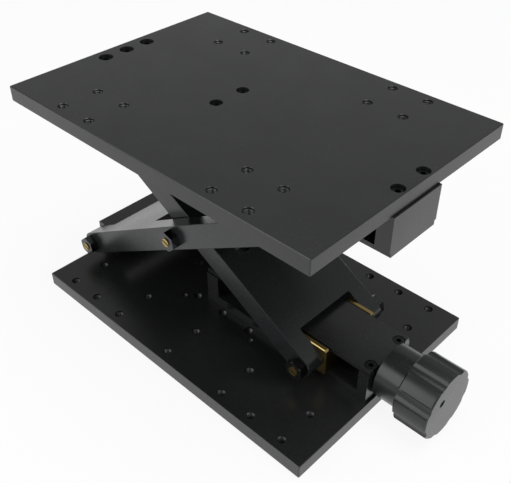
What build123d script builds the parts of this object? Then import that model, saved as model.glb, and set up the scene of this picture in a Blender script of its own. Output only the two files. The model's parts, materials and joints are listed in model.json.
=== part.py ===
from build123d import *
import os
from math import asin, cos, degrees, radians, sqrt

# Vertical translation stage. A base plate and a table plate are joined by a scissor of two forked
# arms. One end of each arm turns in a fixed bracket and the other slides along a rail. A lead
# screw with a fluted knob pulls the lower slide along, which raises or lowers the table.
#
# Sizes are in millimetres. X runs along the plates towards the knob, Z is up, and the origin is
# the middle of the base plate's underside.

# Plates
plate_length = 240.0
plate_width = 165.0
plate_thickness = 10.0
plate_edge_break = 0.4

# Height of the table's top above the surface that the base stands on, as pictured
stage_height = 159.2

# Tilt of the arms above level at the ends of the travel, for heights of 115 mm and 235 mm
lowest_tilt = 17.54
highest_tilt = 58.14

# Scissor arms. Their widths across the stage follow from the rail's width.
arm_short_of_plate = 21.0
arm_height = 16.0
pivot_inset = 9.5
pivot_offset = 14.5
outer_leg = 12.5
inner_leg = 12.25
arm_gap = 1.25
window_length = 67.0
fixed_fork_depth = 19.5
slide_fork_depth = 17.3
fork_corner = 1.2
relief_gap = 0.4
arm_edge_break = 0.3

# Rails
rail_width = 41.8
rail_wall = 8.9
rail_height = 22.6
rail_rear_wall = 10.4
rail_setback = 1.5
rail_overhang = 1.3
cover_thickness = 2.9
cover_step = 1.2
slot_margin = 3.0

# Brackets
bracket_length = 19.0
bracket_reach = 8.0
bracket_gap = 1.5
bracket_edge_break = 0.5

# Brass slide shoes
shoe_length = 20.5
shoe_flange_height = 21.0
shoe_flange = 2.9
shoe_corner = 1.0
shoe_edge_break = 0.5
shoe_play = 0.1

# Pivots
stud_radius = 4.0
stud_thread_radius = 3.0
stud_root_length = 12.0
stud_tip = 0.7
stud_slot_width = 1.1
stud_slot_depth = 0.9
bush_wall = 1.5
nut_across_flats = 12.0
nut_thickness = 5.3
nut_bevel = 0.5
nut_turn = 18.0
washer_radius = 7.0
sleeve_wall = 2.5
side_play = 0.15
running_gap = 0.04
thread_gap = 0.05

# Lead screw, its nut block and bearings
lead_screw_radius = 5.0
journal_radius = 4.0
nut_block_length = 22.0
nut_block_play = 0.3
nut_block_floor_gap = 1.0
nut_bore_gap = 0.15
bearing_radius = 8.0
bearing_width = 5.0
bearing_ring_wall = 1.2
bearing_ring_gap = 0.2
collar_radius = 6.5
collar_length = 3.0
collar_gap = 0.2

# Knob
knob_radius = 22.9
knob_length = 22.8
knob_neck_radius = 18.0
knob_neck_length = 17.0
knob_spacing = 2.0
knob_edge_break = 0.9
flute_count = 8
flute_radius = 6.5
flute_depth = 1.9
flute_turn = 21.0
handle_hole_radius = 2.5
handle_hole_depth = 14.0
handle_hole_offset = 11.0
knob_grip_depth = 24.0
set_screw_radius = 2.0
set_screw_inset = 6.0

# Grids of holes in the plates. Columns are counted from a plate's end and rows from its side.
grid_pitch = 25.0
grid_end_inset = 20.0
grid_side_inset = 7.5
grid_hole_radius = 3.0
table_hole_break = 0.35
table_columns = (1, 2)
table_rows = (0, 1)
base_columns_of_row = {0: (0, 1, 2), 1: (0, 2), 2: (3,)}
base_single_column = 2
accessory_hole_at = (32.0, 31.0)
accessory_hole_radius = 2.1

# Socket head screws: shank radius, head radius, head height, socket across flats
m4_screw = (2.0, 3.5, 4.0, 3.0)
m5_screw = (2.5, 4.25, 5.0, 4.0)
head_gap = 0.5
plate_head_sink = 1.8
cover_head_sink = 0.3
shank_gap = 0.25
tapped_run_out = 1.0
base_bracket_screw_inset = 10.0
table_bracket_screw_inset = 5.5
bracket_screw_bite = 10.0
rail_screw_end_inset = 5.0
table_rail_screw_side_inset = 9.9
base_rail_screw_side_inset = 6.9
rail_screw_bite = 7.0
cover_screw_radius = 1.5
cover_screw_side_inset = 4.9
cover_screw_bite = 6.0

# Places worked out from the driving sizes
plate_end = plate_length / 2
base_top = plate_thickness
table_under = stage_height - plate_thickness
low_pivot_z = base_top + pivot_offset
high_pivot_z = table_under - pivot_offset
pivot_x = -plate_end + pivot_inset
arm_pitch = plate_length - arm_short_of_plate
stage_tilt = degrees(asin((high_pivot_z - low_pivot_z) / arm_pitch))


def slide_x_at(tilt):
    """Place of both sliding pivots along X with the arms tilted by this many degrees."""
    return pivot_x + arm_pitch * cos(radians(tilt))


slide_x = slide_x_at(stage_tilt)
centre_x = (pivot_x + slide_x) / 2
centre_z = (low_pivot_z + high_pivot_z) / 2

# Half widths across the stage, from the rail outwards
rail_half = rail_width / 2
rail_inside = rail_half - rail_wall
cover_half = rail_half - cover_step
inner_inside = rail_half + shoe_flange + 2 * shoe_play
inner_half = inner_inside + inner_leg
outer_inside = inner_half + arm_gap
outer_half = outer_inside + outer_leg
lower_bracket_half = outer_inside - bracket_gap
upper_bracket_half = inner_inside - bracket_gap

slot_start = slide_x_at(highest_tilt) - shoe_length / 2 - slot_margin
slot_end = slide_x_at(lowest_tilt) + shoe_length / 2 + slot_margin
rail_start = slot_start - rail_rear_wall
table_rail_end = plate_end + rail_overhang
base_rail_end = plate_end - rail_setback
slot_half_height = rail_height - pivot_offset
rail_top = base_top + rail_height
cover_top = rail_top + cover_thickness


def rod_x(radius, x_from, x_to, y=0.0, z=low_pivot_z):
    """Round bar along X."""
    return Pos((x_from + x_to) / 2, y, z) * Rot(0, 90, 0) * Cylinder(radius, x_to - x_from)


def rod_y(radius, y_from, y_to, x, z):
    """Round bar along Y."""
    return Pos(x, (y_from + y_to) / 2, z) * Rot(90, 0, 0) * Cylinder(radius, y_to - y_from)


def rod_z(radius, z_from, z_to, x, y):
    """Round bar along Z."""
    return Pos(x, y, (z_from + z_to) / 2) * Cylinder(radius, z_to - z_from)


def block(x_range, y_range, z_range):
    """Rectangular block between two values on each axis."""
    lows, highs = zip(x_range, y_range, z_range)
    middle = [(low + high) / 2 for low, high in zip(lows, highs)]
    return Pos(*middle) * Box(*[high - low for low, high in zip(lows, highs)])


def both_sides(piece):
    """A piece on the +Y side and its mirror image on the other side."""
    return [piece, mirror(piece, about=Plane.XZ)]


def over(piece):
    """The same piece turned over from the base to the table."""
    return mirror(piece, about=Plane.XY.offset(stage_height / 2))


# Screws

def cap_screw(size, length):
    """Socket head screw with its head's top at the origin, pointing down."""
    shank, head, head_height, socket = size
    screw = rod_z(head, -head_height, 0, 0, 0) + rod_z(shank, -length, -head_height, 0, 0)
    hexagon = extrude(RegularPolygon(socket / 2, 6, major_radius=False), -head_height * 0.6)
    return screw - hexagon


def screw_hole(size, sink, depth):
    """Cutter for a counterbored screw: pocket for the sunk head, then a clearance hole."""
    shank, head, head_height, socket = size
    pocket = rod_z(head + head_gap, -head_height - sink, 1, 0, 0)
    return pocket + rod_z(shank + shank_gap, -depth - 1, 0, 0, 0)


def bracket_screw_places(bracket_half, side_inset):
    side_y = bracket_half - side_inset
    return [(pivot_x, y) for y in (-side_y, 0, side_y)]


def rail_screw_places(side_inset):
    """Four screws, one near each corner of a rail."""
    side_y = rail_half - side_inset
    ends = (rail_start + rail_screw_end_inset, plate_end - rail_screw_end_inset)
    return [(x, y) for x in ends for y in (-side_y, side_y)]


base_bracket_screws = bracket_screw_places(lower_bracket_half, base_bracket_screw_inset)
table_bracket_screws = bracket_screw_places(upper_bracket_half, table_bracket_screw_inset)
table_rail_screws = rail_screw_places(table_rail_screw_side_inset)
base_rail_screws = rail_screw_places(base_rail_screw_side_inset)
cover_screws = rail_screw_places(cover_screw_side_inset)

rail_and_cover = rail_height + cover_thickness
bracket_screw_length = plate_thickness - plate_head_sink + bracket_screw_bite
table_rail_screw_length = plate_thickness - plate_head_sink + rail_screw_bite
base_rail_screw_length = rail_and_cover - cover_head_sink + rail_screw_bite


# Plates

def plate_blank():
    """Plate with broken edges, its underside at the origin."""
    blank = Pos(0, 0, plate_thickness / 2) * Box(plate_length, plate_width, plate_thickness)
    return chamfer(blank.edges(), plate_edge_break)


def plate_holes(radius, places):
    return [rod_z(radius, -1, plate_thickness + 1, x, y) for x, y in places]


def column_x(column):
    return plate_end - grid_end_inset - column * grid_pitch


def row_y(row):
    return plate_width / 2 - grid_side_inset - row * grid_pitch


def mirrored(x, y):
    """The four mirror images of a place, or two of a place on a middle line."""
    return {(sx * x, sy * y) for sx in (-1, 1) for sy in (-1, 1)}


def table_holes():
    places = set()
    for column in table_columns:
        for row in table_rows:
            places |= mirrored(column_x(column), row_y(row))
    return sorted(places)


def base_holes():
    places = {(-column_x(base_single_column), 0.0)}
    for row, columns in base_columns_of_row.items():
        places |= mirrored(0.0, row_y(row))
        for column in columns:
            places |= mirrored(column_x(column), row_y(row))
    return sorted(places)


def make_top_plate():
    mouth = Cone(grid_hole_radius, grid_hole_radius + table_hole_break, table_hole_break)
    mouth_z = plate_thickness - table_hole_break / 2
    plate = plate_blank() - plate_holes(grid_hole_radius, table_holes())
    plate -= [Pos(x, y, mouth_z) * mouth for x, y in table_holes()]
    bracket_hole = screw_hole(m5_screw, plate_head_sink, plate_thickness)
    rail_hole = screw_hole(m4_screw, plate_head_sink, plate_thickness)
    plate -= [Pos(x, y, plate_thickness) * bracket_hole for x, y in table_bracket_screws]
    plate -= [Pos(x, y, plate_thickness) * rail_hole for x, y in table_rail_screws]
    return Pos(0, 0, table_under) * plate


def make_base_plate():
    plate = plate_blank() - plate_holes(grid_hole_radius, base_holes())
    plate -= plate_holes(accessory_hole_radius, sorted(mirrored(*accessory_hole_at)))
    bracket_hole = Rot(180, 0, 0) * screw_hole(m5_screw, plate_head_sink, plate_thickness)
    plate -= [Pos(x, y, 0) * bracket_hole for x, y in base_bracket_screws]
    thread = m4_screw[0] + thread_gap
    depth = rail_screw_bite + tapped_run_out
    plate -= [rod_z(thread, base_top - depth, base_top + 1, x, y) for x, y in base_rail_screws]
    return plate


# Brackets that hold the fixed ends of the arms

def bracket(half_width, screws):
    """Bracket on the base. The table's bracket is the same form turned over."""
    top = low_pivot_z + bracket_reach
    body = block(
        (pivot_x - bracket_length / 2, pivot_x + bracket_length / 2),
        (-half_width, half_width),
        (base_top, top),
    )
    body = chamfer(body.edges().filter_by(Axis.Y).sort_by(Axis.Z)[-2:], bracket_edge_break)
    tapped = rod_y(
        stud_thread_radius + thread_gap,
        half_width - stud_root_length - tapped_run_out,
        half_width + 1,
        pivot_x,
        low_pivot_z,
    )
    body -= both_sides(tapped)
    thread = m5_screw[0] + thread_gap
    depth = bracket_screw_bite + tapped_run_out
    return body - [rod_z(thread, base_top - 1, base_top + depth, x, y) for x, y in screws]


# Rails. Both are made for the base, and the table's is turned over.

def rail_body(rail_end):
    """Rail with an open middle between two end blocks, and a slide slot along each side."""
    body = block((rail_start, rail_end), (-rail_half, rail_half), (base_top, rail_top))
    slide_space = (slot_start, slot_end)
    body -= block(slide_space, (-rail_inside, rail_inside), (base_top - 1, rail_top + 1))
    slot_floor = low_pivot_z - slot_half_height
    body -= block(slide_space, (-rail_width, rail_width), (slot_floor, rail_top + 1))
    return body


def make_lower_rail():
    body = rail_body(base_rail_end)
    screw_passage = lead_screw_radius + 2 * bearing_ring_gap
    body -= rod_x(screw_passage, rail_start - 1, base_rail_end + 1)
    body -= rod_x(bearing_radius, rail_start - 1, rail_start + bearing_width)
    body -= rod_x(bearing_radius, base_rail_end - bearing_width, base_rail_end + 1)
    passage = screw_hole(m4_screw, cover_head_sink, rail_and_cover)
    body -= [Pos(x, y, cover_top) * passage for x, y in base_rail_screws]
    return body


def make_upper_rail():
    body = rail_body(table_rail_end)
    thread = m4_screw[0] + thread_gap
    depth = rail_screw_bite + tapped_run_out
    body -= [rod_z(thread, base_top - 1, base_top + depth, x, y) for x, y in table_rail_screws]
    thread = cover_screw_radius + thread_gap
    depth = cover_screw_bite + tapped_run_out
    body -= [rod_z(thread, rail_top - depth, rail_top + 1, x, y) for x, y in cover_screws]
    return over(body)


def rail_cover(rail_end):
    return block((rail_start, rail_end), (-cover_half, cover_half), (rail_top, cover_top))


def make_lower_cover():
    passage = screw_hole(m4_screw, cover_head_sink, cover_thickness)
    holes = [Pos(x, y, cover_top) * passage for x, y in base_rail_screws]
    return rail_cover(base_rail_end) - holes


def countersunk_screw(radius, head_height, length):
    """Flat head screw with its head's top at the origin, pointing down."""
    head = Pos(0, 0, -head_height / 2) * Cone(radius, radius + head_height, head_height)
    return head + rod_z(radius, -length, -head_height, 0, 0)


def make_upper_cover():
    sink = cover_screw_radius + thread_gap
    cutter = countersunk_screw(sink, cover_screw_radius, cover_thickness + 1)
    return over(rail_cover(table_rail_end) - [Pos(x, y, cover_top) * cutter for x, y in cover_screws])


# Scissor arms. Each is made level, with its fixed pivot at the origin and its sliding pivot along
# +X, and its web lies over the top of its rail. The outer arm is the same form turned over.

def fork_gap(x_from, x_to, half_width):
    """Cutter through an arm's whole height, with rounded corners."""
    outline = RectangleRounded(x_to - x_from, 2 * half_width, fork_corner)
    return Pos((x_from + x_to) / 2, 0, -arm_height) * extrude(outline, 2 * arm_height)


def level_arm(half_width, inside):
    """Arm of constant height with full-round ends, two forks and a window at its middle."""
    side = Plane.XZ * Pos(arm_pitch / 2, 0) * SlotCenterToCenter(arm_pitch, arm_height)
    arm = extrude(side, half_width, both=True)
    arm = chamfer(arm.edges().filter_by(Axis.X), arm_edge_break)
    middle = arm_pitch / 2
    arm -= fork_gap(-arm_height, fixed_fork_depth, inside)
    arm -= fork_gap(arm_pitch - slide_fork_depth, arm_pitch + arm_height, inside)
    arm -= fork_gap(middle - window_length / 2, middle + window_length / 2, inside)
    return arm - level_relief()


def level_relief():
    """Cutter that clears the rail's cover, lying level when the stage is at its lowest."""
    above_pivot = cover_top + relief_gap - low_pivot_z
    reach = arm_pitch / 2
    cutter = block((-reach, slide_fork_depth), (-inner_inside, inner_inside), (-arm_pitch, above_pivot))
    return Pos(arm_pitch, 0, 0) * Rot(0, -lowest_tilt, 0) * cutter


def make_inner_arm():
    arm = level_arm(inner_half, inner_inside)
    bush_seat = stud_radius + bush_wall
    for along in (0, arm_pitch):
        arm -= rod_y(bush_seat, -inner_half - 1, inner_half + 1, along, 0)
    arm -= rod_y(stud_radius + thread_gap, -inner_half - 1, inner_half + 1, arm_pitch / 2, 0)
    return Pos(pivot_x, 0, high_pivot_z) * Rot(0, stage_tilt, 0) * arm


def make_outer_arm():
    arm = mirror(level_arm(outer_half, outer_inside), about=Plane.XY)
    bush_seat = stud_radius + bush_wall
    for along in (0, arm_pitch / 2, arm_pitch):
        arm -= rod_y(bush_seat, -outer_half - 1, outer_half + 1, along, 0)
    return Pos(pivot_x, 0, low_pivot_z) * Rot(0, -stage_tilt, 0) * arm


# Round pieces on the pivots, made for the +Y side

def ring(inside, outside, y_from, y_to, x, z):
    return rod_y(outside, y_from, y_to, x, z) - rod_y(inside, y_from - 1, y_to + 1, x, z)


def bush(y_from, y_to, x, z):
    """Plain bush in an arm's leg, which turns on a stud."""
    return ring(stud_radius + running_gap, stud_radius + bush_wall, y_from, y_to, x, z)


def washer(y_from, y_to, x, z):
    inside = stud_radius + 2 * running_gap
    return ring(inside, washer_radius, y_from + side_play, y_to - side_play, x, z)


def stud_end(shoulder_end, x, z):
    """Threaded and slotted end of a stud, outside the leg's face."""
    tip = shoulder_end + nut_thickness + stud_tip
    slot = Pos(x, tip, z) * Rot(0, nut_turn, 0) * Box(4 * stud_radius, 2 * stud_slot_depth, stud_slot_width)
    return rod_y(stud_thread_radius, shoulder_end, tip, x, z) - slot


def stud(root, shoulder_start, leg_face, x, z):
    """Pivot stud: threaded root in what carries it, plain shoulder and threaded end."""
    shoulder_end = leg_face + side_play
    shoulder = rod_y(stud_radius, shoulder_start, shoulder_end, x, z)
    if root < shoulder_start:
        shoulder += rod_y(stud_thread_radius, root, shoulder_start, x, z)
    return shoulder + stud_end(shoulder_end, x, z)


def hex_nut(leg_face, x, z):
    """Nut on a stud's threaded end, with its outer corners bevelled."""
    start = leg_face + side_play
    side = Plane(origin=(x, start, z), x_dir=(1, 0, 0), z_dir=(0, 1, 0))
    hexagon = side * Rot(0, 0, nut_turn) * RegularPolygon(nut_across_flats / 2, 6, major_radius=False)
    corner = nut_across_flats / sqrt(3)
    envelope = Cylinder(corner, nut_thickness)
    envelope = chamfer(envelope.edges().group_by(Axis.Z)[-1], nut_bevel / 2, nut_bevel)
    envelope = side * Pos(0, 0, nut_thickness / 2) * envelope
    hole = rod_y(stud_thread_radius + thread_gap, start - 1, start + nut_thickness + 1, x, z)
    return (extrude(hexagon, nut_thickness) & envelope) - hole


# Slide shoes

def shoe(z):
    """Brass shoe: a slider that fills the rail's slot, and a flange outside it."""
    half = shoe_length / 2
    tall = slot_half_height - shoe_play
    face = rail_half + shoe_play
    slider = block(
        (slide_x - half, slide_x + half),
        (rail_inside + nut_block_play, face),
        (z - tall, z + tall),
    )
    flange = block(
        (slide_x - half, slide_x + half),
        (face, face + shoe_flange),
        (z - shoe_flange_height / 2, z + shoe_flange_height / 2),
    )
    flange = chamfer(flange.edges().filter_by(Axis.Y), shoe_corner)
    flange = chamfer(flange.edges().group_by(Axis.Y)[-1], shoe_edge_break)
    return slider + flange - rod_y(stud_radius + running_gap, 0, inner_half, slide_x, z)


# Lead screw drive

def make_nut_block():
    half_width = rail_inside - nut_block_play
    half_length = nut_block_length / 2
    body = block(
        (slide_x - half_length, slide_x + half_length),
        (-half_width, half_width),
        (base_top + nut_block_floor_gap, rail_top - nut_block_play),
    )
    body -= rod_x(lead_screw_radius + nut_bore_gap, slide_x - nut_block_length, slide_x + nut_block_length)
    hole = stud_thread_radius + thread_gap
    return body - both_sides(rod_y(hole, nut_block_root, half_width + 1, slide_x, low_pivot_z))


nut_block_root = lead_screw_radius + 1.0
knob_start = base_rail_end + knob_spacing
knob_step = knob_start + knob_neck_length
knob_face = knob_step + knob_length


def make_lead_screw():
    thread = rod_x(lead_screw_radius, rail_start + bearing_width, base_rail_end - bearing_width)
    rear = rail_start - collar_gap - collar_length
    return thread + rod_x(journal_radius, rear, knob_start + knob_grip_depth - 1)


def bearing_starts():
    return (rail_start, base_rail_end - bearing_width)


def make_bearing_rings(inside, outside):
    rings = []
    for start in bearing_starts():
        end = start + bearing_width
        rings.append(rod_x(outside, start, end) - rod_x(inside, start - 1, end + 1))
    return rings


inner_ring_radius = journal_radius + bearing_ring_wall


def make_collar():
    start = rail_start - collar_gap - collar_length
    collar = rod_x(collar_radius, start, start + collar_length)
    return collar - rod_x(journal_radius, start - 1, rail_start)


def make_spacer():
    spacer = rod_x(inner_ring_radius, base_rail_end, knob_start)
    return spacer - rod_x(journal_radius, base_rail_end - 1, knob_start + 1)


def make_knob():
    """Knob with a plain neck, eight shallow flutes, and a tapped hole for a spinning handle."""
    grip = rod_x(knob_radius, knob_step, knob_face, 0, 0)
    grip = chamfer(grip.edges(), knob_edge_break)
    from_axis = knob_radius - flute_depth + flute_radius
    flute = rod_x(flute_radius, knob_step - 1, knob_face + 1, 0, from_axis)
    step_angle = 360 / flute_count
    for count in range(flute_count):
        grip -= Rot(flute_turn + count * step_angle, 0, 0) * flute
    hole_start = knob_face - handle_hole_depth
    handle_hole = rod_x(handle_hole_radius, hole_start, knob_face + 1, 0, handle_hole_offset)
    grip -= Rot(flute_turn + step_angle / 2, 0, 0) * handle_hole
    knob = Pos(0, 0, low_pivot_z) * grip + rod_x(knob_neck_radius, knob_start, knob_step)
    knob -= rod_x(journal_radius, knob_start - 1, knob_start + knob_grip_depth)
    return knob - rod_y(set_screw_radius + thread_gap, 0, knob_neck_radius + 1, set_screw_x, low_pivot_z)


set_screw_x = knob_start + set_screw_inset


def make_set_screw():
    head = knob_neck_radius - 1
    screw = rod_y(set_screw_radius, journal_radius, head, set_screw_x, low_pivot_z)
    side = Plane(origin=(set_screw_x, head, low_pivot_z), x_dir=(1, 0, 0), z_dir=(0, 1, 0))
    socket = side * RegularPolygon(set_screw_radius / 2, 6, major_radius=False)
    return screw - extrude(socket, -set_screw_radius)


# Fastener groups

def screws_down(size, length, places, top):
    return [Pos(x, y, top) * cap_screw(size, length) for x, y in places]


def make_lower_bracket_screws():
    screw = Rot(180, 0, 0) * cap_screw(m5_screw, bracket_screw_length)
    return [Pos(x, y, plate_head_sink) * screw for x, y in base_bracket_screws]


def make_cover_screws():
    screw = countersunk_screw(cover_screw_radius, cover_screw_radius, cover_thickness + cover_screw_bite)
    return [over(Pos(x, y, cover_top) * screw) for x, y in cover_screws]


shaft_end = outer_half + side_play


def make_cross_shaft():
    shaft = rod_y(stud_radius, -shaft_end, shaft_end, slide_x, high_pivot_z)
    for end in both_sides(stud_end(shaft_end, slide_x, high_pivot_z)):
        shaft += end
    return shaft


def pivot_places(z):
    return (pivot_x, z), (slide_x, z)


low_fixed, low_slide = pivot_places(low_pivot_z)
high_fixed, high_slide = pivot_places(high_pivot_z)
centre = (centre_x, centre_z)
sleeve_inside = stud_radius + thread_gap

nodes = {
    # Base
    "base_plate": make_base_plate(),
    "lower_bracket": bracket(lower_bracket_half, base_bracket_screws),
    "lower_bracket_screws": make_lower_bracket_screws(),
    "lower_rail": make_lower_rail(),
    "lower_rail_cover": make_lower_cover(),
    "lower_rail_screws": screws_down(
        m4_screw, base_rail_screw_length, base_rail_screws, cover_top - cover_head_sink
    ),
    "lower_pivot_studs": both_sides(
        stud(lower_bracket_half - stud_root_length, lower_bracket_half, outer_half, *low_fixed)
    ),
    "lower_pivot_nuts": both_sides(hex_nut(outer_half, *low_fixed)),
    "lower_pivot_washers": both_sides(washer(lower_bracket_half, outer_inside, *low_fixed)),
    "bearing_outer_rings": make_bearing_rings(inner_ring_radius + bearing_ring_gap, bearing_radius),
    # Drive
    "lead_screw": make_lead_screw(),
    "bearing_inner_rings": make_bearing_rings(journal_radius, inner_ring_radius),
    "lead_screw_collar": make_collar(),
    "knob_spacer": make_spacer(),
    "knob": make_knob(),
    "knob_set_screw": make_set_screw(),
    # Outer arm
    "outer_arm": make_outer_arm(),
    "outer_arm_bushes": [
        piece
        for place in (low_fixed, centre, high_slide)
        for piece in both_sides(bush(outer_inside, outer_half, *place))
    ],
    # Inner arm
    "inner_arm": make_inner_arm(),
    "inner_arm_bushes": [
        piece
        for place in (high_fixed, low_slide)
        for piece in both_sides(bush(inner_inside, inner_half, *place))
    ],
    "centre_studs": both_sides(stud(inner_inside, inner_inside, outer_half, *centre)),
    "centre_nuts": both_sides(hex_nut(outer_half, *centre)),
    "centre_washers": both_sides(washer(inner_half, outer_inside, *centre)),
    # Lower slide
    "nut_block": make_nut_block(),
    "lower_shoes": both_sides(shoe(low_pivot_z)),
    "lower_slide_studs": both_sides(
        stud(nut_block_root, rail_inside - nut_block_play, inner_half, *low_slide)
    ),
    "lower_slide_nuts": both_sides(hex_nut(inner_half, *low_slide)),
    # Upper slide
    "cross_shaft": make_cross_shaft(),
    "upper_shoes": both_sides(shoe(high_pivot_z)),
    "cross_shaft_sleeves": both_sides(
        ring(sleeve_inside, stud_radius + sleeve_wall, inner_inside, outer_inside - shoe_play, *high_slide)
    ),
    "cross_shaft_nuts": both_sides(hex_nut(outer_half, *high_slide)),
    # Table
    "top_plate": make_top_plate(),
    "upper_bracket": over(bracket(upper_bracket_half, table_bracket_screws)),
    "upper_bracket_screws": screws_down(
        m5_screw, bracket_screw_length, table_bracket_screws, stage_height - plate_head_sink
    ),
    "upper_rail": make_upper_rail(),
    "upper_rail_cover": make_upper_cover(),
    "upper_rail_screws": screws_down(
        m4_screw, table_rail_screw_length, table_rail_screws, stage_height - plate_head_sink
    ),
    "upper_cover_screws": make_cover_screws(),
    "upper_pivot_studs": both_sides(
        stud(upper_bracket_half - stud_root_length, upper_bracket_half, inner_half, *high_fixed)
    ),
    "upper_pivot_nuts": both_sides(hex_nut(inner_half, *high_fixed)),
    "upper_pivot_washers": both_sides(washer(upper_bracket_half, inner_inside, *high_fixed)),
}

os.makedirs("parts", exist_ok=True)
for name, piece in nodes.items():
    shape = Compound(children=piece) if isinstance(piece, list) else piece
    export_step(shape, f"parts/{name}.step")
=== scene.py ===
# %% [markdown]
# # A scissor lab jack in black anodised aluminium
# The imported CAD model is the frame: every piece is already at its real size and place. This
# notebook adds the camera, the light, the finishes, and the screw threads that CAD leaves out.

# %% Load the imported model
import json
import math

import bpy
from mathutils import Matrix, Vector


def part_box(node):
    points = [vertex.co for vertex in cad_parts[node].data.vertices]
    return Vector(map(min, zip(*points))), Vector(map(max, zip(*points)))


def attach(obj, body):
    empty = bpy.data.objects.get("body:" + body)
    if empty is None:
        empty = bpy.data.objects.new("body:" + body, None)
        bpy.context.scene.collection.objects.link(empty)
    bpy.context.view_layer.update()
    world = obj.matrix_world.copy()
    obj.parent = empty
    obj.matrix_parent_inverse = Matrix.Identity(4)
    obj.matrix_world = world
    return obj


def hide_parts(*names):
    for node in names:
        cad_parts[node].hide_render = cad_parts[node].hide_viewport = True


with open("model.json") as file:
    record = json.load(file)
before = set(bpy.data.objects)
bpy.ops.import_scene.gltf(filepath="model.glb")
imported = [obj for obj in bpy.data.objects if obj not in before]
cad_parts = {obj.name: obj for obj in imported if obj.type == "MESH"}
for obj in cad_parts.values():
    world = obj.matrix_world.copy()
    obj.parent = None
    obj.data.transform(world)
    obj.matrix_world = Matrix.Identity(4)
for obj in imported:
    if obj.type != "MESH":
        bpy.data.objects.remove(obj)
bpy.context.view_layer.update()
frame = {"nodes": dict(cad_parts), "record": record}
NODES = frame["nodes"]
MM = 0.001
print("CAD nodes:", len(NODES))

# %% [markdown]
# ## Camera
# The stage was photographed from above its front right corner with a fairly long lens. A camera
# could be moved by eye until the picture fits, but a guess of the lens spoils every size. So the
# lens and place were worked out from the corners and the hole grid of the plates, and the camera is
# set from plain numbers: a focal length in pixels, a place in millimetres, and three angles.

# %% Camera at the photograph's place
IMAGE_WIDTH = 511
SENSOR_WIDTH = 36.0
NEAREST_SEEN = 0.01
FOCAL_PIXELS = 748.0
CAMERA_PLACE = Vector((275.4, -277.7, 364.6)) * MM
AZIMUTH, ELEVATION, ROLL = (math.radians(angle) for angle in (43.99, 38.15, -0.19))


def camera_axes():
    """Right, up and backward directions of the camera."""
    back = Vector((
        math.sin(AZIMUTH) * math.cos(ELEVATION),
        -math.cos(AZIMUTH) * math.cos(ELEVATION),
        math.sin(ELEVATION),
    ))
    level = Vector((math.cos(AZIMUTH), math.sin(AZIMUTH), 0))
    right = level * math.cos(ROLL) + back.cross(level) * math.sin(ROLL)
    return right, back.cross(right), back


camera = bpy.data.objects.new("camera", bpy.data.cameras.new("camera"))
bpy.context.scene.collection.objects.link(camera)
camera.data.sensor_width = SENSOR_WIDTH
camera.data.lens = FOCAL_PIXELS / IMAGE_WIDTH * SENSOR_WIDTH
camera.data.clip_start = NEAREST_SEEN
camera.matrix_world = Matrix.Translation(CAMERA_PLACE) @ Matrix(camera_axes()).transposed().to_4x4()
bpy.context.scene.camera = camera
print("lens", round(camera.data.lens, 2), "mm")

# %% [markdown]
# ## Floor
# The photograph is a plain product shot on white. A strong lamp could burn the paper out to white,
# but it would bleach the stage too. Here the floor glows white only for the camera and for mirror
# rays, and a small share of plain paper is left in it, which carries the stage's shadow.

# %% Floor that looks white to the camera
FLOOR_SIZE, FLOOR_DROP = 6.0, 0.0005
PAPER_COLOUR = (0.82, 0.82, 0.82, 1)
BACKDROP_STRENGTH = 1.0
SHADOW_SHARE = 0.1


def seen_directly(tree):
    """Fac that is 1 for rays from the camera, mirrors and glass."""
    path = tree.nodes.new("ShaderNodeLightPath")
    either = tree.nodes.new("ShaderNodeMath")
    either.operation = "MAXIMUM"
    tree.links.new(path.outputs["Is Camera Ray"], either.inputs[0])
    tree.links.new(path.outputs["Is Glossy Ray"], either.inputs[1])
    both = tree.nodes.new("ShaderNodeMath")
    both.operation = "MAXIMUM"
    tree.links.new(either.outputs[0], both.inputs[0])
    tree.links.new(path.outputs["Is Transmission Ray"], both.inputs[1])
    return both.outputs[0]


def floor_material():
    material = bpy.data.materials.new("pale_floor")
    material.use_nodes = True
    tree = material.node_tree
    tree.nodes.clear()
    paper = tree.nodes.new("ShaderNodeBsdfDiffuse")
    paper.inputs["Color"].default_value = PAPER_COLOUR
    white = tree.nodes.new("ShaderNodeEmission")
    white.inputs["Strength"].default_value = BACKDROP_STRENGTH
    share = tree.nodes.new("ShaderNodeMath")
    share.operation = "MULTIPLY"
    share.inputs[1].default_value = 1 - SHADOW_SHARE
    tree.links.new(seen_directly(tree), share.inputs[0])
    mix = tree.nodes.new("ShaderNodeMixShader")
    tree.links.new(share.outputs[0], mix.inputs[0])
    tree.links.new(paper.outputs[0], mix.inputs[1])
    tree.links.new(white.outputs[0], mix.inputs[2])
    surface = tree.nodes.new("ShaderNodeOutputMaterial")
    tree.links.new(mix.outputs[0], surface.inputs["Surface"])
    return material


def make_floor():
    mesh = bpy.data.meshes.new("floor")
    half = FLOOR_SIZE / 2
    corners = [(-half, -half, 0), (half, -half, 0), (half, half, 0), (-half, half, 0)]
    mesh.from_pydata(corners, [], [(0, 1, 2, 3)])
    mesh.materials.append(floor_material())
    floor = bpy.data.objects.new("floor", mesh)
    floor.location.z = -FLOOR_DROP
    bpy.context.scene.collection.objects.link(floor)


make_floor()
print("floor", FLOOR_SIZE, "m wide")

# %% [markdown]
# ## Sky and soft boxes
# Black anodising is dark, so it is seen mostly by what it mirrors. Small lamps would leave hard
# bright spots on it. Three large soft boxes and an even, pale sky give each face of the stage its
# own smooth tone instead: the top from overhead, the long side from the front, and the ends from
# the right.

# %% World and soft boxes
SKY_STRENGTH = 0.4
WHITE = (1, 1, 1, 1)
STAGE_MIDDLE = (0, 0, 0.08)
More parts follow.
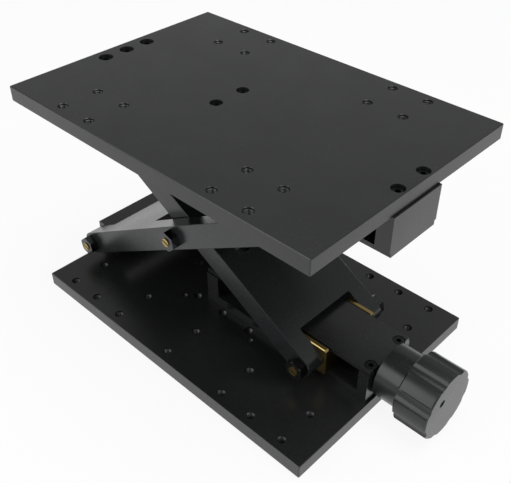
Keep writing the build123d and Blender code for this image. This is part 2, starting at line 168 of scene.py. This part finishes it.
# Place in metres, side in metres and power in watts
SOFT_BOXES = {
    "overhead_box": ((0.3, 0.1, 1.35), 0.9, 10),
    "front_box": ((-0.5, -1.1, 0.7), 1.0, 6.5),
    "right_box": ((1.2, 0.1, 0.95), 0.9, 4),
}


def make_world():
    """Sky that lights the stage softly and is white where the camera sees it."""
    world = bpy.data.worlds.new("studio")
    bpy.context.scene.world = world
    world.use_nodes = True
    tree = world.node_tree
    tree.nodes.clear()
    path = tree.nodes.new("ShaderNodeLightPath")
    mix = tree.nodes.new("ShaderNodeMixShader")
    tree.links.new(path.outputs["Is Camera Ray"], mix.inputs[0])
    for socket, strength in ((1, SKY_STRENGTH), (2, BACKDROP_STRENGTH)):
        sky = tree.nodes.new("ShaderNodeBackground")
        sky.inputs["Color"].default_value = WHITE
        sky.inputs["Strength"].default_value = strength
        tree.links.new(sky.outputs[0], mix.inputs[socket])
    out = tree.nodes.new("ShaderNodeOutputWorld")
    tree.links.new(mix.outputs[0], out.inputs["Surface"])


def soft_box(name, spot, size, power):
    """Square area lamp that faces the stage."""
    lamp = bpy.data.lights.new(name, "AREA")
    lamp.shape = "SQUARE"
    lamp.size = size
    lamp.energy = power
    box = bpy.data.objects.new(name, lamp)
    bpy.context.scene.collection.objects.link(box)
    aim = (Vector(STAGE_MIDDLE) - Vector(spot)).to_track_quat("-Z", "Y")
    box.matrix_world = Matrix.Translation(spot) @ aim.to_matrix().to_4x4()


make_world()
for box_name, (box_place, box_size, box_power) in SOFT_BOXES.items():
    soft_box(box_name, box_place, box_size, box_power)
bpy.context.scene.view_settings.view_transform = "Standard"
print("soft boxes:", len(SOFT_BOXES))

# %% [markdown]
# ## Shared shader groups
# A machined part is never one flat colour. Its blasted or brushed grain breaks up the mirror, its
# edges lose some of their black, hands leave smoother patches, and dust settles on what faces up.
# These could be painted by hand for each piece, but most finishes share them. So each effect is one
# node group, built once and used by every finish with its own values. All of them read Object
# coordinates, which are metres here, so a scale of 4000 means 4 grains in a millimetre.

# %% Helpers for node trees
def new_group(name, inputs, outputs):
    """Empty shader group with named sockets, and its input and output nodes."""
    group = bpy.data.node_groups.new(name, "ShaderNodeTree")
    for label, kind, value in inputs:
        socket = group.interface.new_socket(label, in_out="INPUT", socket_type=kind)
        socket.default_value = value
    for label in outputs:
        group.interface.new_socket(label, in_out="OUTPUT", socket_type="NodeSocketFloat")
    return group, group.nodes.new("NodeGroupInput"), group.nodes.new("NodeGroupOutput")


def connect(tree, value, socket):
    """Link an output to a socket, or set a plain value on it."""
    if isinstance(value, bpy.types.NodeSocket):
        tree.links.new(value, socket)
    else:
        socket.default_value = value


def math_node(tree, operation, first, second=0.0, clamp=False):
    node = tree.nodes.new("ShaderNodeMath")
    node.operation = operation
    node.use_clamp = clamp
    connect(tree, first, node.inputs[0])
    connect(tree, second, node.inputs[1])
    return node.outputs[0]


def product(tree, first, second, clamp=False):
    return math_node(tree, "MULTIPLY", first, second, clamp)


def vector_node(tree, operation, first, second=(0.0, 0.0, 0.0)):
    node = tree.nodes.new("ShaderNodeVectorMath")
    node.operation = operation
    connect(tree, first, node.inputs[0])
    connect(tree, second, node.inputs[1])
    return node


def object_place(tree):
    return tree.nodes.new("ShaderNodeTexCoord").outputs["Object"]


def noise(tree, where, scale, detail):
    node = tree.nodes.new("ShaderNodeTexNoise")
    connect(tree, where, node.inputs["Vector"])
    connect(tree, scale, node.inputs["Scale"])
    node.inputs["Detail"].default_value = detail
    return node.outputs["Fac"]


def step_between(tree, value, low, high):
    """0 below low, 1 above high, and a straight slope between."""
    node = tree.nodes.new("ShaderNodeMapRange")
    connect(tree, value, node.inputs["Value"])
    node.inputs["From Min"].default_value = low
    node.inputs["From Max"].default_value = high
    return node.outputs["Result"]


def patches(tree, where, scale, detail, low, high):
    """Patches of noise: 0 where it stays below low, and 1 above high."""
    return step_between(tree, noise(tree, where, scale, detail), low, high)


helpers = (new_group, connect, math_node, product, vector_node, object_place, noise, step_between, patches)
print("helpers:", ", ".join(helper.__name__ for helper in helpers))

# %% [markdown]
# ## Machining marks
# Blasting leaves fine even grains, a milling cutter leaves straight lines, and a lathe tool leaves
# rings round the axis. Each is a noise with another stretch: even, drawn out along one direction,
# or read by the distance from the axis alone.

# %% Blasted grain, brush lines and turned rings
GRAINS_PER_METRE, GRAIN_DETAIL = 4000.0, 1.0
TONES_PER_METRE, TONE_DETAIL = 45.0, 4.0
LINE_DETAIL = 3.0
RING_DETAIL = 2.0
RINGS_PER_METRE = 2500.0
FINE_LINES = (40.0, 3000.0, 3000.0)


def make_grain_group():
    group, given, made = new_group(
        "blasted_grain", [("Grains Per Metre", "NodeSocketFloat", GRAINS_PER_METRE)], ["Height", "Tone"]
    )
    where = object_place(group)
    connect(group, noise(group, where, given.outputs[0], GRAIN_DETAIL), made.inputs["Height"])
    connect(group, noise(group, where, TONES_PER_METRE, TONE_DETAIL), made.inputs["Tone"])
    return group


def make_brush_group():
    group, given, made = new_group(
        "brush_lines", [("Lines Per Metre", "NodeSocketVector", FINE_LINES)], ["Height"]
    )
    stretched = vector_node(group, "MULTIPLY", object_place(group), given.outputs[0]).outputs[0]
    connect(group, noise(group, stretched, 1.0, LINE_DETAIL), made.inputs["Height"])
    return group


def make_turned_group():
    """Rings left by a lathe tool. Across is 1 on the two directions at right angles to the axis."""
    inputs = [
        ("Centre", "NodeSocketVector", (0.0, 0.0, 0.0)),
        ("Across", "NodeSocketVector", (0.0, 1.0, 1.0)),
        ("Rings Per Metre", "NodeSocketFloat", RINGS_PER_METRE),
    ]
    group, given, made = new_group("turned_rings", inputs, ["Height"])
    offset = vector_node(group, "SUBTRACT", object_place(group), given.outputs["Centre"]).outputs[0]
    flat = vector_node(group, "MULTIPLY", offset, given.outputs["Across"]).outputs[0]
    radius = vector_node(group, "LENGTH", flat).outputs["Value"]
    ring = group.nodes.new("ShaderNodeTexNoise")
    ring.noise_dimensions = "1D"
    ring.inputs["Scale"].default_value = 1.0
    ring.inputs["Detail"].default_value = RING_DETAIL
    connect(group, product(group, radius, given.outputs[2]), ring.inputs["W"])
    connect(group, ring.outputs["Fac"], made.inputs["Height"])
    return group


GRAIN, BRUSH, TURNED = make_grain_group(), make_brush_group(), make_turned_group()
print("pattern groups:", GRAIN.name, BRUSH.name, TURNED.name)

# %% [markdown]
# ## Wear and painted edge highlights
# Anodising is a thin hard film. It wears through first along the edges, where hands and tools touch
# it, and the lighter edge colour also stands in as a painted highlight on the small chamfers. A Bevel
# node finds those edges: it rounds the normal, and the mask is how far that differs from the flat one.
# Noise breaks each mask up, so that no mark runs evenly.

# %% Edge wear with painted edge highlights, handling marks and dust
EDGE_WIDTH, EDGE_SAMPLES = 0.0003, 6
EDGE_TURN = {"low": 0.02, "high": 0.25}
EDGE_PATCHES = {"scale": 260.0, "detail": 3.0, "low": 0.3, "high": 0.62}
SMEARS = {"scale": 22.0, "detail": 5.0, "low": 0.42, "high": 0.66}
SCRATCHES = {"scale": 1.0, "detail": 1.0, "low": 0.74, "high": 0.78}
SCRATCHES_PER_METRE = (90.0, 1500.0, 420.0)
FACING_UP = {"low": 0.6, "high": 0.95}
DUST_SPECKS = {"scale": 1400.0, "detail": 1.0, "low": 0.72, "high": 0.78}
DUST_CLOUDS = {"scale": 18.0, "detail": 3.0, "low": 0.4, "high": 0.7}


def make_edge_wear_and_highlight_group():
    """Mask of edges for wear and a painted highlight: where the rounded normal differs from the flat one,
    broken up by noise.
    """
    inputs = [("Width", "NodeSocketFloat", EDGE_WIDTH), ("Amount", "NodeSocketFloat", 1.0)]
    group, given, made = new_group("edge_wear_and_highlight", inputs, ["Mask"])
    rounded = group.nodes.new("ShaderNodeBevel")
    rounded.samples = EDGE_SAMPLES
    connect(group, given.outputs["Width"], rounded.inputs["Radius"])
    flat = group.nodes.new("ShaderNodeNewGeometry").outputs["Normal"]
    likeness = vector_node(group, "DOT_PRODUCT", rounded.outputs[0], flat).outputs["Value"]
    # This mask lightens the edges, partly as wear and partly as a painted highlight
    edge = step_between(group, math_node(group, "SUBTRACT", 1.0, likeness), **EDGE_TURN)
    worn_and_lit = product(group, edge, patches(group, object_place(group), **EDGE_PATCHES))
    connect(group, product(group, worn_and_lit, given.outputs["Amount"], clamp=True), made.inputs["Mask"])
    return group


def make_handling_group():
    """Broad smooth patches from hands and cloths, with short fine scratches between them."""
    group, given, made = new_group(
        "handling", [("Amount", "NodeSocketFloat", 1.0)], ["Smear", "Scratch"]
    )
    where = object_place(group)
    stretched = vector_node(group, "MULTIPLY", where, SCRATCHES_PER_METRE).outputs[0]
    smear = patches(group, where, **SMEARS)
    scratch = patches(group, stretched, **SCRATCHES)
    connect(group, product(group, smear, given.outputs[0], clamp=True), made.inputs["Smear"])
    connect(group, product(group, scratch, given.outputs[0], clamp=True), made.inputs["Scratch"])
    return group


def make_dust_group():
    """Specks of dust on faces that look up."""
    group, given, made = new_group("dust", [("Amount", "NodeSocketFloat", 1.0)], ["Mask"])
    parts = group.nodes.new("ShaderNodeSeparateXYZ")
    connect(group, group.nodes.new("ShaderNodeNewGeometry").outputs["Normal"], parts.inputs[0])
    up = step_between(group, parts.outputs["Z"], **FACING_UP)
    where = object_place(group)
    speck = patches(group, where, **DUST_SPECKS)
    cloud = patches(group, where, **DUST_CLOUDS)
    mask = product(group, product(group, speck, cloud), up)
    connect(group, product(group, mask, given.outputs[0], clamp=True), made.inputs["Mask"])
    return group


EDGE_WEAR_AND_HIGHLIGHT, HANDLING, DUST = make_edge_wear_and_highlight_group(), make_handling_group(), make_dust_group()
print("wear groups:", EDGE_WEAR_AND_HIGHLIGHT.name, HANDLING.name, DUST.name)

# %% [markdown]
# ## Finishes
# One recipe covers all of the stage's metals. A colour is mixed with a lighter colour along the edges,
# partly wear and partly a painted highlight, and with pale dust, the roughness moves with the
# pattern, smears and scratches, and one fine pattern gives the bump: brush lines on milled faces,
# rings on turned pieces, and nearly even grains on blasted plates.

# %% The finish recipe
DEEPER_TONE = 0.78
TONE_DRIFT = {"low": 0.3, "high": 0.7}
DUST_COLOUR, DUST_AMOUNT = (0.25, 0.25, 0.24, 1), 0.5
PATTERN_ROUGHNESS, SMEAR_ROUGHNESS = 0.12, 0.05
SCRATCH_ROUGHNESS, DUST_ROUGHNESS = 0.12, 0.4
GRAIN_IN_BUMP = 0.4
BUMP_DEPTH = 0.00004


def use_group(tree, group, **values):
    node = tree.nodes.new("ShaderNodeGroup")
    node.node_tree = group
    for label, value in values.items():
        node.inputs[label.replace("_", " ")].default_value = value
    return node


def mix_colour(tree, amount, first, second):
    node = tree.nodes.new("ShaderNodeMix")
    node.data_type = "RGBA"
    connect(tree, amount, node.inputs["Factor"])
    connect(tree, first, node.inputs["A"])
    connect(tree, second, node.inputs["B"])
    return node.outputs["Result"]


def metal_finish(name, colour, worn_and_lit, roughness, metallic, pattern, bump, edge):
    """Material of one finish. The pattern is a group and its values, and edge is how strongly the edges
    are lightened, for wear and as a painted highlight.
    """
    material = bpy.data.materials.new(name)
    material.use_nodes = True
    tree = material.node_tree
    shader = tree.nodes["Principled BSDF"]
    shader.inputs["Metallic"].default_value = metallic
    group, values = pattern
    lines = use_group(tree, group, **values).outputs["Height"]
    grain = use_group(tree, GRAIN)
    wear_and_highlight = use_group(tree, EDGE_WEAR_AND_HIGHLIGHT, Amount=edge)
    touched = use_group(tree, HANDLING)
    settled = use_group(tree, DUST, Amount=DUST_AMOUNT).outputs["Mask"]

    drift = step_between(tree, grain.outputs["Tone"], **TONE_DRIFT)
    deeper = tuple(DEEPER_TONE * channel for channel in colour)
    base = mix_colour(tree, drift, (*deeper, 1), (*colour, 1))
    # Lighter colour along the edges: partly wear, partly a painted highlight
    base = mix_colour(tree, wear_and_highlight.outputs["Mask"], base, (*worn_and_lit, 1))
    base = mix_colour(tree, settled, base, DUST_COLOUR)
    connect(tree, base, shader.inputs["Base Color"])

    rough = math_node(tree, "MULTIPLY_ADD", lines, PATTERN_ROUGHNESS)
    rough.node.inputs[2].default_value = roughness - PATTERN_ROUGHNESS / 2
    for effect, mask, share in (
        ("SUBTRACT", touched.outputs["Smear"], SMEAR_ROUGHNESS),
        ("ADD", touched.outputs["Scratch"], SCRATCH_ROUGHNESS),
        ("ADD", settled, DUST_ROUGHNESS),
    ):
        rough = math_node(tree, effect, rough, product(tree, mask, share))
    rough.node.use_clamp = True
    connect(tree, rough, shader.inputs["Roughness"])

    relief = tree.nodes.new("ShaderNodeBump")
    relief.inputs["Strength"].default_value = bump
    relief.inputs["Distance"].default_value = BUMP_DEPTH
    fine = product(tree, grain.outputs["Height"], GRAIN_IN_BUMP)
    connect(tree, math_node(tree, "ADD", lines, fine), relief.inputs["Height"])
    connect(tree, relief.outputs[0], shader.inputs["Normal"])
    return material


print("bump depth", BUMP_DEPTH / MM, "mm")

# %% [markdown]
# ## The stage's metals
# The plates, brackets, rails, arms and knob are aluminium with black anodising, which mirrors like
# a dark varnish and not like bare metal, so its Metallic is 0. The slide shoes and the pivots' studs
# and washers are brass, the bushes bronze, and the nuts black nickel. The screws and the nut block
# are black oxide steel. The lead screw and its bearings stay bright.

# %% Every finish of the stage
SCREW_AXIS_Z = 0.0245
MILLED_ALONG_X = (BRUSH, {"Lines_Per_Metre": FINE_LINES})
MILLED_ALONG_Y = (BRUSH, {"Lines_Per_Metre": (3000.0, 40.0, 3000.0)})
BLASTED = (BRUSH, {"Lines_Per_Metre": (1800.0, 2600.0, 2600.0)})
TURNED_ABOUT_SCREW = (TURNED, {
    "Centre": (0.0, 0.0, SCREW_AXIS_Z), "Across": (0.0, 1.0, 1.0), "Rings_Per_Metre": 2400.0,
})
BLACK, ARM_BLACK, KNOB_BLACK = (0.0125, 0.0135, 0.013), (0.0125, 0.014, 0.0145), (0.011, 0.0125, 0.0125)
# Lighter black of the edges: partly wear through the anodising, partly a painted highlight
WORN_AND_LIT_BLACK, ANODISED_WEAR_AND_HIGHLIGHT = (0.075, 0.077, 0.08), 0.6


def anodised(name, colour, roughness, pattern, bump):
    return metal_finish(name, colour, WORN_AND_LIT_BLACK, roughness, 0, pattern, bump, ANODISED_WEAR_AND_HIGHLIGHT)


def bare_metal(name, colour, worn_and_lit, roughness, pattern, bump, edge):
    return metal_finish(name, colour, worn_and_lit, roughness, 1, pattern, bump, edge)


# The second colour of each bare metal is its lighter edge colour: partly wear, partly a painted highlight
finishes = {
    "base_black": anodised("base_black_blasted", BLACK, 0.3, BLASTED, 0.25),
    "table_black": anodised("table_black_blasted", BLACK, 0.3, BLASTED, 0.25),
    "bracket_black": anodised("bracket_black_milled", BLACK, 0.3, MILLED_ALONG_Y, 0.3),
    "rail_black": anodised("rail_black_milled", BLACK, 0.28, MILLED_ALONG_X, 0.3),
    "arm_black": anodised("arm_black_milled", ARM_BLACK, 0.28, MILLED_ALONG_X, 0.25),
    "knob_black": anodised("knob_black_turned", KNOB_BLACK, 0.3, TURNED_ABOUT_SCREW, 0.35),
    "brass": bare_metal(
        "brass_milled", (0.42, 0.31, 0.12), (0.62, 0.47, 0.2), 0.34, MILLED_ALONG_X, 0.3, 0.4
    ),
    "bronze": bare_metal(
        "bronze_turned", (0.36, 0.22, 0.1), (0.5, 0.34, 0.17), 0.36, MILLED_ALONG_Y, 0.3, 0.4
    ),
    "nut_steel": bare_metal(
        "nut_black_nickel", (0.07, 0.072, 0.075), (0.3, 0.3, 0.31), 0.24, MILLED_ALONG_Y, 0.2, 0.5
    ),
    "dark_steel": bare_metal(
        "screw_black_oxide", (0.04, 0.041, 0.043), (0.2, 0.2, 0.2), 0.36, BLASTED, 0.3, 0.4
    ),
    "screw_steel": bare_metal(
        "ground_steel", (0.42, 0.42, 0.43), (0.5, 0.5, 0.5), 0.3, TURNED_ABOUT_SCREW, 0.3, 0.3
    ),
    "bearing_steel": bare_metal(
        "bright_bearing_steel", (0.55, 0.55, 0.56), (0.6, 0.6, 0.6), 0.2, TURNED_ABOUT_SCREW, 0.2, 0.3
    ),
}
slots = {part["node"]: part["material_slot"] for part in frame["record"]["subparts"]}
for name, node in NODES.items():
    node.data.materials.clear()
    node.data.materials.append(finishes[slots[name]])
print("finishes:", len(finishes))

# %% [markdown]
# ## Screw threads
# Every grid hole is tapped, and the lead screw carries a trapezoidal thread. A thread could be swept
# along a helix, but a sweep twists its profile. It is one shape that follows a rule: a profile that
# climbs by one pitch each turn. So Geometry Nodes bend a flat grid into it. Along the grid runs the
# angle, and across it runs one pitch of the profile, from -1 through the crest at 0 to 1. The same
# tree makes the V threads in the holes, turned inwards, and the flat-topped thread of the screw.

# %% The thread tree
PROFILE_SPAN = 2.0
THREAD_SIZES = (
    ("Root Radius", "Float"), ("Crest Radius", "Float"), ("Pitch", "Float"), ("Length", "Float"),
    ("Steps", "Int"), ("Rows", "Int"), ("Crest", "Float"), ("Root", "Float"),
    ("Inside", "Bool"), ("Turn", "Vector"), ("Finish", "Material"),
)


def thread_radius(tree, given, across):
    """Crest radius at the middle of the profile, root radius at its sides, and a flank between."""
    rise = tree.nodes.new("ShaderNodeMapRange")
    connect(tree, math_node(tree, "ABSOLUTE", across), rise.inputs["Value"])
    connect(tree, given["Crest"], rise.inputs["From Min"])
    connect(tree, given["Root"], rise.inputs["From Max"])
    connect(tree, given["Crest Radius"], rise.inputs["To Min"])
    connect(tree, given["Root Radius"], rise.inputs["To Max"])
    return rise.outputs["Result"]


def bent_grid(tree, given):
    """Flat grid bent into one thread along Z, with its start at the origin."""
    grid = tree.nodes.new("GeometryNodeMeshGrid")
    grid.inputs["Size Y"].default_value = PROFILE_SPAN
    connect(tree, given["Length"], grid.inputs["Size X"])
    connect(tree, given["Steps"], grid.inputs["Vertices X"])
    connect(tree, given["Rows"], grid.inputs["Vertices Y"])
    at = tree.nodes.new("ShaderNodeSeparateXYZ")
    connect(tree, tree.nodes.new("GeometryNodeInputPosition").outputs[0], at.inputs[0])
    along = math_node(tree, "ADD", at.outputs["X"], product(tree, given["Length"], 0.5))
    angle = product(tree, math_node(tree, "DIVIDE", along, given["Pitch"]), math.tau)
    climb = product(tree, at.outputs["Y"], product(tree, given["Pitch"], 1 / PROFILE_SPAN))
    radius = thread_radius(tree, given, at.outputs["Y"])
    spot = tree.nodes.new("ShaderNodeCombineXYZ")
    connect(tree, product(tree, radius, math_node(tree, "COSINE", angle)), spot.inputs["X"])
    connect(tree, product(tree, radius, math_node(tree, "SINE", angle)), spot.inputs["Y"])
    connect(tree, math_node(tree, "ADD", along, climb), spot.inputs["Z"])
    bent = tree.nodes.new("GeometryNodeSetPosition")
    connect(tree, grid.outputs["Mesh"], bent.inputs["Geometry"])
    connect(tree, spot.outputs[0], bent.inputs["Position"])
    return bent.outputs[0]


def thread_tree():
    tree = bpy.data.node_groups.new("screw_thread", "GeometryNodeTree")
    face = tree.interface
    face.new_socket("Geometry", in_out="INPUT", socket_type="NodeSocketGeometry")
    for label, kind in THREAD_SIZES:
        face.new_socket(label, in_out="INPUT", socket_type="NodeSocket" + kind)
    face.new_socket("Geometry", in_out="OUTPUT", socket_type="NodeSocketGeometry")
    given = tree.nodes.new("NodeGroupInput").outputs
    made = tree.nodes.new("NodeGroupOutput").inputs

    inward = tree.nodes.new("GeometryNodeFlipFaces")
    connect(tree, bent_grid(tree, given), inward.inputs["Mesh"])
    connect(tree, given["Inside"], inward.inputs["Selection"])
    copies = tree.nodes.new("GeometryNodeInstanceOnPoints")
    connect(tree, given["Geometry"], copies.inputs["Points"])
    connect(tree, inward.outputs[0], copies.inputs["Instance"])
    connect(tree, given["Turn"], copies.inputs["Rotation"])
    realised = tree.nodes.new("GeometryNodeRealizeInstances")
    connect(tree, copies.outputs[0], realised.inputs[0])
    painted = tree.nodes.new("GeometryNodeSetMaterial")
    connect(tree, realised.outputs[0], painted.inputs["Geometry"])
    connect(tree, given["Finish"], painted.inputs["Material"])
    connect(tree, painted.outputs[0], made[0])
    return tree


THREAD = thread_tree()
print("thread tree nodes:", len(THREAD.nodes))

# %% [markdown]
# ## Plain meshes from the tree
# The tree puts a copy of the thread on each point of a small seed mesh. The export drops instances,
# so the result is turned into a plain mesh at once. Then the modifier and the seed are removed.

# %% One thread at each of some places
def make_threads(name, places, values):
    """Plain mesh object with the thread at each place."""
    seeds = bpy.data.meshes.new(name + "_places")
    seeds.from_pydata([tuple(spot) for spot in places], [], [])
    source = bpy.data.objects.new(name + "_source", seeds)
    bpy.context.scene.collection.objects.link(source)
    modifier = source.modifiers.new("thread", "NODES")
    modifier.node_group = THREAD
    for item in THREAD.interface.items_tree:
        if item.in_out == "INPUT" and item.name in values:
            modifier[item.identifier] = values[item.name]
    bpy.context.view_layer.update()
    evaluated = source.evaluated_get(bpy.context.evaluated_depsgraph_get())
    mesh = bpy.data.meshes.new_from_object(evaluated)
    source.modifiers.remove(modifier)
    bpy.data.objects.remove(source)
    mesh.name = name
    piece = bpy.data.objects.new(name, mesh)
    bpy.context.scene.collection.objects.link(piece)
    print(name, len(mesh.polygons), "faces at", len(places), "places")
    return piece


UPRIGHT, ALONG_X = (0.0, 0.0, 0.0), (0.0, math.pi / 2, 0.0)
print("values of a thread:", ", ".join(label for label, kind in THREAD_SIZES))

# %% [markdown]
# ## Tapped holes
# The 25 mm grid holes of both plates are M6, the four small ones in the base M4, and the one in the
# knob's face M5. A dark ring in a texture would pass from afar, but not in the exported mesh, so
# each thread is real. The plates' holes lie on a few mirrored rows and columns, as on the real
# plates, and each thread stops about 1 mm short of both ends of its hole.

# %% Places of the tapped holes
COLUMNS_OF_ROW = {75: (50, 75, 100, 0), 50: (50, 100, 0), 25: (25, 0)}
TABLE_LINES = (50, 75)
SINGLE_HOLE = (-50, 0)
SMALL_HOLE = (32, 31)


def mirrored(x, y):
    return {(sx * x, sy * y) for sx in (-1, 1) for sy in (-1, 1)}


base_places = {SINGLE_HOLE}
for row, columns in COLUMNS_OF_ROW.items():
    for column in columns:
        base_places |= mirrored(column, row)
table_places = set()
for column in TABLE_LINES:
    for row in TABLE_LINES:
        table_places |= mirrored(column, row)
print("tapped holes:", len(base_places), "in the base and", len(table_places), "in the table")

# %% Threads in the plates and the knob
M6_RADIUS, M6_PITCH = 0.003, 0.001
M4_RADIUS, M4_PITCH = 0.0021, 0.0007
M5_RADIUS, M5_PITCH = 0.0025, 0.0008
THREAD_DEPTH_IN_PITCHES = 0.54
TURN_STEPS = 16
WALL_GAP = 0.00002
V_PROFILE = {"Rows": 3, "Crest": 0.0, "Root": 1.0}
KNOB_HOLE_OFFSET, KNOB_HOLE_ANGLE, KNOB_HOLE_DEPTH = 0.011, math.radians(133.5), 0.014


def hole_values(radius, pitch, length, slot, turn=UPRIGHT):
    return {
        "Root Radius": radius - WALL_GAP, "Crest Radius": radius - THREAD_DEPTH_IN_PITCHES * pitch,
        "Pitch": pitch, "Length": length, "Steps": round(length / pitch * TURN_STEPS) + 1,
        "Inside": True, "Turn": turn, "Finish": finishes[slot], **V_PROFILE,
    }


def over_plate(places, plate_low):
    """Starts of threads in a plate, one M6 pitch above its underside."""
    return [(x * MM, y * MM, plate_low + M6_PITCH) for x, y in sorted(places)]


base_top_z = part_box("base_plate")[1][2]
table_low_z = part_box("top_plate")[0][2]
knob_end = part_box("knob")[1][0]
through_plate = base_top_z - 2 * M6_PITCH
base_threads = make_threads(
    "base_m6_threads", over_plate(base_places, 0),
    hole_values(M6_RADIUS, M6_PITCH, through_plate, "base_black"),
)
small_threads = make_threads(
    "base_m4_threads", over_plate(mirrored(*SMALL_HOLE), 0),
    hole_values(M4_RADIUS, M4_PITCH, through_plate, "base_black"),
)
table_threads = make_threads(
    "table_m6_threads", over_plate(table_places, table_low_z),
    hole_values(M6_RADIUS, M6_PITCH, through_plate, "table_black"),
)
handle_place = (
    knob_end - KNOB_HOLE_DEPTH + M5_PITCH,
    KNOB_HOLE_OFFSET * math.cos(KNOB_HOLE_ANGLE),
    SCREW_AXIS_Z + KNOB_HOLE_OFFSET * math.sin(KNOB_HOLE_ANGLE),
)
handle_thread = make_threads(
    "knob_m5_thread", [handle_place],
    hole_values(M5_RADIUS, M5_PITCH, KNOB_HOLE_DEPTH - 2 * M5_PITCH, "knob_black", ALONG_X),
)
for piece, body, slot in (
    (base_threads, "base", "base_black"), (small_threads, "base", "base_black"),
    (table_threads, "table", "table_black"), (handle_thread, "drive", "knob_black"),
):
    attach(piece, body)

# %% [markdown]
# ## Lead screw
# The CAD screw is a plain bar. The real one has a trapezoidal thread of 3 mm lead between two plain
# shoulders, and thinner journals that run in the bearings and carry the knob. The thread comes from
# the same tree, and the plain lengths are lathe work: one outline turned about the axis.

# %% Plain lengths of the lead screw
LEAD, SCREW_CREST, SCREW_ROOT = 0.003, 0.005, 0.0034
SHOULDER, BEARING_WIDTH, JOURNAL, SCREW_BREAK = 0.004, 0.005, 0.004, 0.0003
SCREW_SEGMENTS = 48


def turned_about_screw(name, outline):
    """Closed solid of revolution about the lead screw's axis, from (x, radius) points."""
    rings, faces = [], []
    count = SCREW_SEGMENTS
    for x, radius in outline:
        for step in range(count):
            angle = math.tau * step / count
            rings.append((x, radius * math.cos(angle), SCREW_AXIS_Z + radius * math.sin(angle)))
    for ring in range(len(outline) - 1):
        for step in range(count):
            here, beside = ring * count + step, ring * count + (step + 1) % count
            faces.append((here, beside, beside + count, here + count))
    faces.append(tuple(reversed(range(count))))
    last = (len(outline) - 1) * count
    faces.append(tuple(range(last, last + count)))
    mesh = bpy.data.meshes.new(name)
    mesh.from_pydata(rings, [], faces)
    mesh.update()
    piece = bpy.data.objects.new(name, mesh)
    bpy.context.scene.collection.objects.link(piece)
    mesh.materials.append(finishes["screw_steel"])
    return piece


screw_low, screw_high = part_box("lead_screw")
rail_low, rail_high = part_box("lower_rail")
bar_start, bar_end = rail_low[0] + BEARING_WIDTH, rail_high[0] - BEARING_WIDTH
rear = turned_about_screw("rear_journal", [
    (screw_low[0], JOURNAL - SCREW_BREAK), (screw_low[0] + SCREW_BREAK, JOURNAL),
    (bar_start, JOURNAL), (bar_start, SCREW_CREST - SCREW_BREAK),
    (bar_start + SCREW_BREAK, SCREW_CREST), (bar_start + SHOULDER, SCREW_CREST),
    (bar_start + SHOULDER, SCREW_ROOT - SCREW_BREAK),
])
front = turned_about_screw("front_journal", [
    (bar_end - SHOULDER, SCREW_ROOT - SCREW_BREAK), (bar_end - SHOULDER, SCREW_CREST),
    (bar_end - SCREW_BREAK, SCREW_CREST), (bar_end, SCREW_CREST - SCREW_BREAK),
    (bar_end, JOURNAL), (screw_high[0] - SCREW_BREAK, JOURNAL),
    (screw_high[0], JOURNAL - SCREW_BREAK),
])
print("plain lengths:", len(rear.data.polygons) + len(front.data.polygons), "faces")

# %% Threaded lead screw in place of the plain bar
SCREW_TURN_STEPS = 32
TRAPEZOID = {"Rows": 13, "Crest": 0.35, "Root": 0.65}
thread_length = bar_end - bar_start - 2 * SHOULDER
lead_screw = make_threads("lead_screw_threaded", [(bar_start + SHOULDER, 0, SCREW_AXIS_Z)], {
    "Root Radius": SCREW_ROOT, "Crest Radius": SCREW_CREST, "Pitch": LEAD, "Length": thread_length,
    "Steps": round(thread_length / LEAD * SCREW_TURN_STEPS) + 1, "Inside": False,
    "Turn": ALONG_X, "Finish": finishes["screw_steel"], **TRAPEZOID,
})
joined = [lead_screw, rear, front]
with bpy.context.temp_override(active_object=lead_screw, selected_editable_objects=joined):
    bpy.ops.object.join()
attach(lead_screw, "drive")
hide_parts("lead_screw")
print("lead screw faces:", len(lead_screw.data.polygons))
